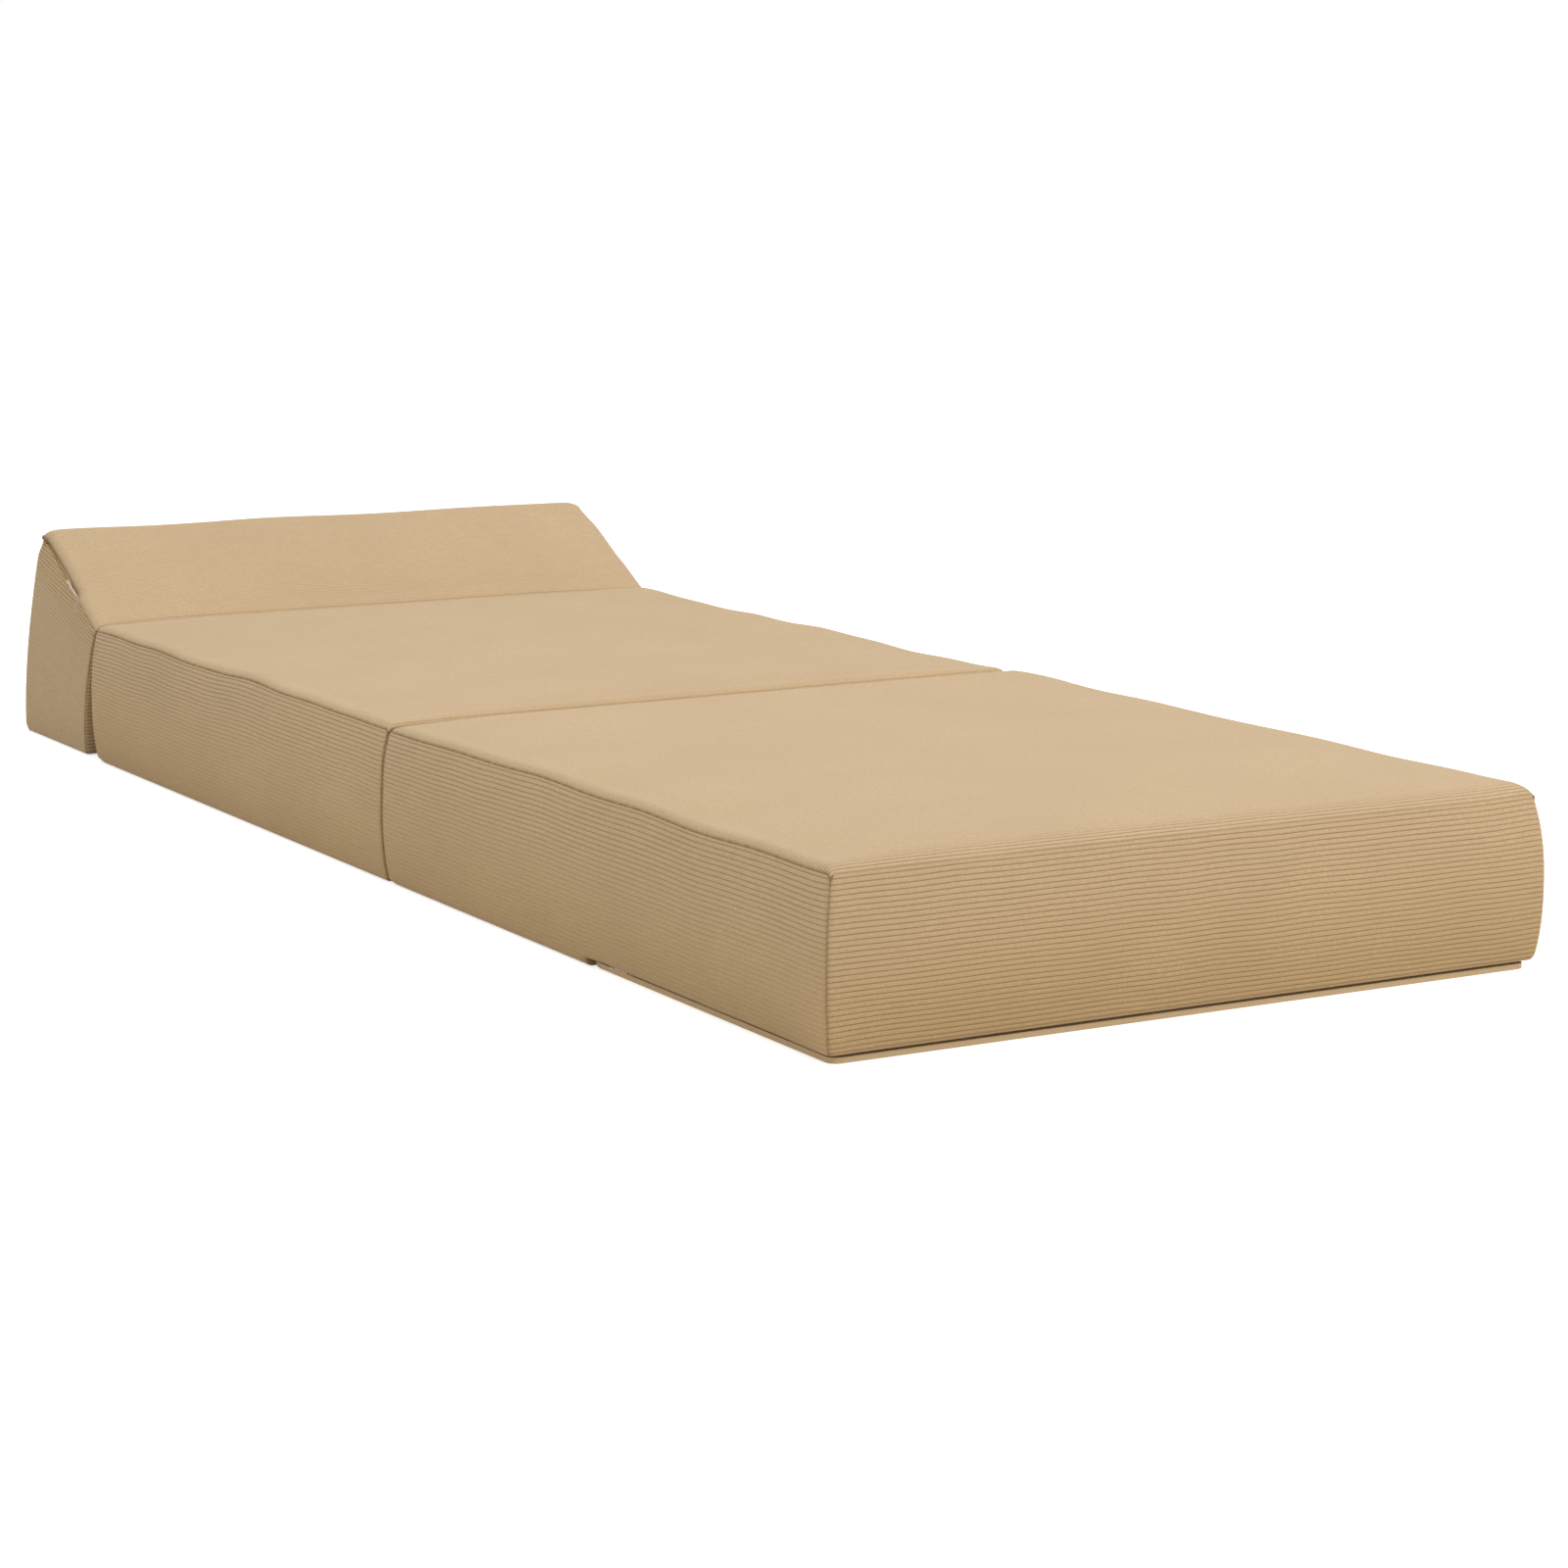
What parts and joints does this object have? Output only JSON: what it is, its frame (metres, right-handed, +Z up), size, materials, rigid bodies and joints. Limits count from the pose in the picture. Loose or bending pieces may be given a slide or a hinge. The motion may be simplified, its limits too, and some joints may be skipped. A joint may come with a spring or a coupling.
{
  "type": "folding futon mattress",
  "caption": "Folding floor mattress: foot and middle blocks with a head wedge, zipped corduroy covers over foam, folding into a low chair",
  "frame": {"origin": "on the floor under the centre of the unfolded mattress", "axes": "+Z up, +Y from the foot block towards the head wedge, +X across the width, to the right seen from the foot"},
  "size_m": [0.77, 2.0172, 0.2568],
  "materials": {
    "corduroy": "matte",
    "base_cloth": "matte",
    "hinge_cloth": "matte",
    "foam": "matte",
    "zip_tape": "matte",
    "zip_coil": "satin",
    "zip_metal": "satin"
  },
  "bodies": {
    "mid_section": {"mid_top_panel": "corduroy", "mid_base_panel": "base_cloth", "mid_front_panel": "corduroy", "mid_back_panel": "corduroy", "mid_left_panel": "corduroy", "mid_right_panel": "corduroy", "mid_foam_core": "foam", "mid_zip_lower_tape": "zip_tape", "mid_zip_upper_tape": "zip_tape", "mid_zip_coil": "zip_coil", "mid_zip_stops": "zip_metal", "foot_hinge_strip": "hinge_cloth", "head_hinge_strip": "hinge_cloth"},
    "foot_section": {"foot_top_panel": "corduroy", "foot_base_panel": "base_cloth", "foot_front_panel": "corduroy", "foot_back_panel": "corduroy", "foot_left_panel": "corduroy", "foot_right_panel": "corduroy", "foot_foam_core": "foam", "foot_zip_lower_tape": "zip_tape", "foot_zip_upper_tape": "zip_tape", "foot_zip_coil": "zip_coil", "foot_zip_stops": "zip_metal"},
    "head_section": {"head_slope_panel": "corduroy", "head_base_panel": "base_cloth", "head_front_panel": "corduroy", "head_back_panel": "corduroy", "head_left_panel": "corduroy", "head_right_panel": "corduroy", "head_foam_core": "foam", "head_zip_lower_tape": "zip_tape", "head_zip_upper_tape": "zip_tape", "head_zip_coil": "zip_coil", "head_zip_stops": "zip_metal"},
    "foot_slider": {"foot_zip_slider": "zip_metal"},
    "foot_pull": {"foot_zip_pull": "zip_metal"},
    "mid_slider": {"mid_zip_slider": "zip_metal"},
    "mid_pull": {"mid_zip_pull": "zip_metal"},
    "head_slider": {"head_zip_slider": "zip_metal"},
    "head_pull": {"head_zip_pull": "zip_metal"}
  },
  "joints": [
    {"name": "foot_fold", "type": "hinge", "parent": "mid_section", "child": "foot_section", "pos_m": [0, -0.11744, -0.0003], "axis": [1, 0, 0], "range_deg": [0, 180], "deforming": ["foot_hinge_strip"]},
    {"name": "head_fold", "type": "hinge", "parent": "mid_section", "child": "head_section", "pos_m": [0, 0.73695, 0.1724], "axis": [1, 0, 0], "range_deg": [0, 153.5], "deforming": ["head_hinge_strip"]},
    {"name": "foot_zip_slide", "type": "slide", "parent": "foot_section", "child": "foot_slider", "axis": [0, -1, 0], "range_m": [0, 0.373], "deforming": ["foot_zip_coil"]},
    {"name": "foot_pull_swing", "type": "hinge", "parent": "foot_slider", "child": "foot_pull", "pos_m": [-0.3717, -0.60364, 0.0052], "axis": [0, 0, -1], "range_deg": [0, 180]},
    {"name": "mid_zip_slide", "type": "slide", "parent": "mid_section", "child": "mid_slider", "axis": [0, 1, 0], "range_m": [0, 0.762], "deforming": ["mid_zip_coil"]},
    {"name": "mid_pull_swing", "type": "hinge", "parent": "mid_slider", "child": "mid_pull", "pos_m": [0.3717, -0.07224, 0.0052], "axis": [0, 0, -1], "range_deg": [0, 180]},
    {"name": "head_zip_slide", "type": "slide", "parent": "head_section", "child": "head_slider", "axis": [0, 0.8953, 0.4455], "range_m": [0, 0.073], "deforming": ["head_zip_coil"]},
    {"name": "head_pull_swing", "type": "hinge", "parent": "head_slider", "child": "head_pull", "pos_m": [-0.3717, 0.84403, 0.20602], "axis": [0, 0.4455, -0.8953], "range_deg": [0, 180]}
  ]
}
